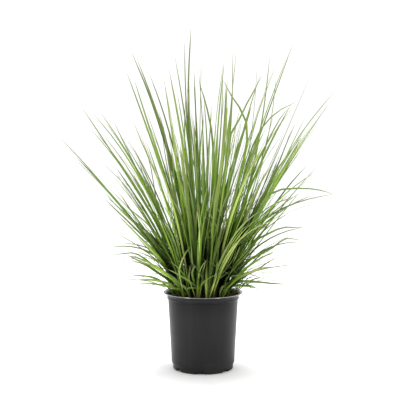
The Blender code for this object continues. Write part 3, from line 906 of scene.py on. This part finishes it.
def grass_finish():
    """Fresh leaf: yellow-green to blue-green, painted darker in the heart of the clump as painted shade,
    with a pale midrib and edges, fine veins, a paler and duller underside, a greyer tip that is brown
    here and there, and an olive base that turns purple-brown at the mix."""
    leaf = Finish("fresh_grass_leaf", Specular_IOR_Level=0.06)
    leaf_map = leaf.node("ShaderNodeUVMap", {"uv_map": "leaf_map"})
    around = leaf.component(leaf_map, "X")
    along = leaf.component(leaf_map, "Y")
    tone = leaf.mark("tone")
    dryness = leaf.mark("dryness")
    depth = leaf.mark("depth")
    side = leaf.sum_of("FRACT", around)
    from_rib = leaf.sum_of("ABSOLUTE", side - 0.5) * 2
    below = leaf.sum_of("GREATER_THAN", around, 1.0)
    mottle = leaf.grain(leaf.coordinates(), 35.0, 3.0)
    streak = leaf.grain(leaf.stretched(leaf_map, (14, 0.8, 1)), 1.0, 2.0)
    green = leaf.ramp(
        tone + (mottle - 0.5) * 0.30 + (streak - 0.5) * 0.20,
        (0.0, linear(12, 34, 0)), (0.3, linear(56, 98, 2)),
        (0.6, linear(126, 168, 24)), (0.95, linear(212, 230, 128)),
    )
    bluish = leaf.between(leaf.sum_of("FRACT", tone * 13), 0.50, 0.95)
    green = leaf.mix(bluish * 0.50, green, linear(70, 124, 68))
    green = leaf.mix((1 - leaf.between(from_rib, 0.0, 0.22)) * 0.30, green, linear(176, 204, 90))
    green = leaf.mix(leaf.between(from_rib, 0.72, 1.0) * 0.40, green, linear(192, 212, 116))
    green = leaf.mix(below * 0.30, green, linear(130, 158, 78))
    green = leaf.mix(leaf.between(along, 0.50, 0.92) * 0.62, green, linear(128, 134, 98))
    # Painted shade: the deeper a place lies in the clump, the nearer its colour is painted to near-black
    green = leaf.mix(depth * 0.98, green, linear(3, 13, 0))
    crown = 1 - leaf.between(along, -0.02, 0.10)
    green = leaf.mix(crown * 0.15, green, linear(92, 94, 40))
    sheath = 1 - leaf.between(along, -0.08, 0.01)
    green = leaf.mix(sheath * 0.60, green, linear(92, 64, 48))
    withered = leaf.between(along + dryness * 1.25 + (mottle - 0.5) * 0.12, 0.98, 1.10)
    straw = leaf.ramp(streak, (0.3, linear(140, 114, 74)), (0.7, linear(188, 166, 120)))
    green = leaf.mix(withered, green, straw)
    veins = leaf.sum_of("SINE", around * (math.tau * VEINS))
    ridges = leaf.bump(veins * 0.5 + streak, VEIN_RELIEF, 0.6)
    gloss = 0.44 + mottle * 0.16 + below * 0.12 + withered * 0.25
    return leaf.surface(Base_Color=green, Roughness=gloss, Normal=ridges)


def seen_at(across, up, back):
    """The real place, in metres, of a point seen at across and up, in millimetres, in the upright plane
    through the pot's axis, and that is back behind that plane."""
    depth = back / 1000
    scale = (VIEW_DISTANCE + depth) / VIEW_DISTANCE
    return Vector((across / 1000 * scale, depth, VIEW_HEIGHT + (up / 1000 - VIEW_HEIGHT) * scale))


# Leaves that stand out: the width in metres, the tone, and, in millimetres, how far back, and the places
# that they pass through from the sheath to the tip, across and up
OUTSTANDING_LEAVES = (
    # folded over at mid-height, right of the middle
    (0.0060, 0.55, -20, (28, 175), (50, 290), (74, 395), (90, 467), (91, 502), (79, 534), (58, 565),
     (42, 595)),
    # curving left at its tip
    (0.0056, 0.60, 30, (8, 180), (16, 300), (22, 435), (18, 488), (5, 551), (-8, 593)),
    # arching out to the far right and down
    (0.0046, 0.45, 5, (40, 175), (62, 230), (100, 320), (142, 367), (163, 373), (194, 375), (224, 374),
     (247, 370), (268, 363)),
    # rising to the upper right, the first one arched over
    (0.0044, 0.50, 20, (38, 175), (70, 330), (96, 446), (110, 480), (122, 502), (139, 521), (161, 538),
     (178, 546), (190, 552)),
    (0.0042, 0.35, -10, (42, 175), (84, 330), (113, 432), (127, 459), (139, 483), (151, 507), (165, 528),
     (175, 540)),
    (0.0038, 0.20, 30, (46, 175), (112, 330), (158, 432), (170, 463), (180, 487), (190, 509)),
    (0.0040, 0.35, -20, (44, 175), (118, 345), (165, 432), (182, 454), (192, 468), (201, 479)),
    (0.0052, 0.50, -30, (22, 175), (38, 330), (50, 442), (55, 483), (67, 505), (79, 526), (89, 548),
     (105, 577), (120, 606)),
    # bent level, right
    (0.0046, 0.35, -30, (44, 180), (78, 225), (112, 269), (142, 284), (165, 294), (184, 294), (205, 294)),
    (0.0044, 0.40, 20, (40, 172), (100, 229), (142, 250), (171, 270), (201, 268)),
    # drooping over the lip, right
    (0.0034, 0.30, -48, (46, 170), (62, 182), (78, 184), (92, 176), (104, 160)),
    # bent level at its tip, left
    (0.0040, 0.50, -10, (-46, 172), (-100, 212), (-147, 241), (-168, 239), (-188, 237)),
    # broad and bright, up the front
    (0.0074, 1.05, -70, (6, 180), (21, 297), (33, 389), (43, 472), (49, 540)),
    (0.0066, 0.90, -60, (-8, 180), (-28, 322), (-39, 392), (-47, 455)),
    (0.0060, 0.85, -66, (-2, 180), (-10, 348), (-15, 430), (-19, 490)),
    # leaning out to the left, straight
    (0.0046, 0.30, -10, (-34, 175), (-89, 241), (-124, 275), (-155, 306), (-180, 330), (-202, 352)),
    (0.0042, 0.40, 15, (-38, 178), (-89, 256), (-109, 280), (-135, 300), (-168, 329), (-184, 344),
     (-201, 365)),
    (0.0052, 0.25, -25, (-36, 162), (-64, 180), (-89, 196), (-124, 219), (-157, 236)),
    # low and thin, out to the right
    (0.0036, 0.25, -10, (40, 164), (76, 186), (98, 199), (122, 212), (137, 223), (155, 231)),
    (0.0048, 0.30, 10, (38, 164), (60, 178), (76, 181), (113, 180), (141, 177), (174, 175)),
    # low ones that lie out over the lip on both sides
    (0.0056, 0.85, -30, (-30, 158), (-52, 168), (-76, 178), (-104, 184), (-134, 185)),
    (0.0048, 0.55, -45, (-36, 157), (-60, 167), (-82, 172), (-108, 177), (-136, 177)),
    (0.0058, 0.95, -50, (-32, 162), (-58, 182), (-84, 200), (-108, 214), (-140, 226)),
    (0.0054, 0.75, -40, (14, 158), (40, 168), (67, 172), (92, 171), (116, 166)),
    (0.0048, 0.50, -20, (42, 162), (60, 174), (80, 181), (102, 182), (126, 178)),
    (0.0056, 0.95, -45, (36, 164), (66, 184), (88, 196), (112, 206), (140, 212)),
    # short ones that cross the front of the crown
    (0.0036, 0.60, -60, (-34, 166), (-12, 168), (8, 175), (35, 188), (54, 202)),
    (0.0030, 0.70, -62, (-11, 168), (-14, 175), (-22, 178), (-34, 178)),
    (0.0040, 0.85, -62, (-12, 175), (-4, 214), (2, 229), (9, 243)),
    (0.0030, 1.00, -75, (-50, 205), (-17, 262), (10, 272), (26, 278)),
    (0.0040, 0.80, -75, (24, 180), (31, 250), (33, 280), (22, 306), (8, 332), (-4, 356)),
    (0.0030, 0.80, -70, (-30, 190), (-6, 250), (22, 300), (52, 340)),
)

grass = grass_finish()
names = sorted(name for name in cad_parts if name.startswith("shoot_"))
shoots = {name: leaf_lines(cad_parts[name]) for name in names}

# Each leaf that stands out grows on the shoot that stands nearest to its lowest place
outstanding = {name: [] for name in names}
for width, tone, back, *places in OUTSTANDING_LEAVES:
    points = [seen_at(across, up, back) for across, up in places]
    name, (_, foot) = min(shoots.items(), key=lambda shoot: (shoot[1][1] - points[0]).length)
    points.insert(0, foot.lerp(points[0], 0.5))
    line = line_from(foot, points, [(0, -1, 0)] * (len(points) + 1), width)
    outstanding[name].append((line, tone))


def further_leaves(name, upright, rng):
    """The lines and widths of the leaves that a shoot has besides those of its solid."""
    lines, foot = shoots[name]
    nearest = sorted(shoots, key=lambda other: (shoots[other][1] - foot).length)[1:1 + NEIGHBOURS]
    companions, crossing_leaves, young_leaves = UPRIGHT_GROWTH if upright else LOW_GROWTH
    grown = []
    for _ in range(companions):
        first, second = rng.sample(lines, 2)
        line = first.between(second, rng.uniform(*COMPANION_OVER), rng.uniform(*COMPANION_REACH))
        grown.append((line, line.width * rng.uniform(*COMPANION_WIDTHS)))
    for _ in range(crossing_leaves):
        other = rng.choice(shoots[rng.choice(nearest)][0])
        line = rng.choice(lines).between(other, CROSSING_OVER, rng.uniform(*CROSSING_REACH))
        grown.append((line, line.width * rng.uniform(*CROSSING_WIDTHS)))
    for _ in range(young_leaves):
        line = young_leaf(foot, rng)
        grown.append((line, line.width))
    return grown


def sheath(lines, foot):
    """The rings of a shoot's sheath, from its foot in the mix to where its leaves part."""
    mouth = sum((Vector(line.centres[1]) for line in lines), Vector()) / len(lines)
    turns = np.arange(SHEATH_SIDES) * math.tau / SHEATH_SIDES
    rings = []
    for share, radius, _ in SHEATH_RINGS:
        middle = foot.lerp(mouth, share) if share else foot - Vector((0, 0, ROOTED))
        rings.append([middle + Vector((math.cos(turn), math.sin(turn), 0)) * radius for turn in turns])
    return rings


foliages = {}
for number, (name, (lines, foot)) in enumerate(shoots.items()):
    rng = random.Random(FIRST_SEED + number)
    shoot_tone = rng.uniform(*SHOOT_TONES)
    foliage = Foliage()
    for line in lines:
        width = line.width * rng.uniform(*LEAF_WIDTHS)
        tone = min(shoot_tone + rng.gauss(0, TONE_SPREAD), PALEST)
        foliage.add_blade(line, rng, width, tone, rng.choice(LEAF_DRYNESS))
    for line, tone in outstanding[name]:
        foliage.add_blade(line, rng, line.width, tone, 0, most_twist=0.3, most_sway=0, kinks=False)
    rise = sum((Vector(line.centres[-1]) - foot).normalized().z for line in lines) / len(lines)
    for line, width in further_leaves(name, rise > UPRIGHT, rng):
        tone = min(shoot_tone + rng.gauss(0, TONE_SPREAD), PALEST)
        dry = rng.choice(FURTHER_DRYNESS)
        lean = [rng.gauss(0, LEAN), rng.gauss(0, LEAN), rng.uniform(-DROOP, 0.0)]
        if line.clears_lip():
            foliage.add_blade(line, rng, width, tone, dry, most_roll=1.0, most_sway=0.006, lean=lean)
    foliage.add_rings(sheath(lines, foot), [along for _, _, along in SHEATH_RINGS], shoot_tone, 0)
    foliages[name] = foliage

spots = np.concatenate([spot for foliage in foliages.values() for spot in foliage.spots])
areas = np.concatenate([area for foliage in foliages.values() for area in foliage.areas])
shade = Shade(spots, areas)
for name, foliage in foliages.items():
    shoot = foliage.make("grass_" + name, grass, shade)
    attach(shoot, "root")
    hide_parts(name)
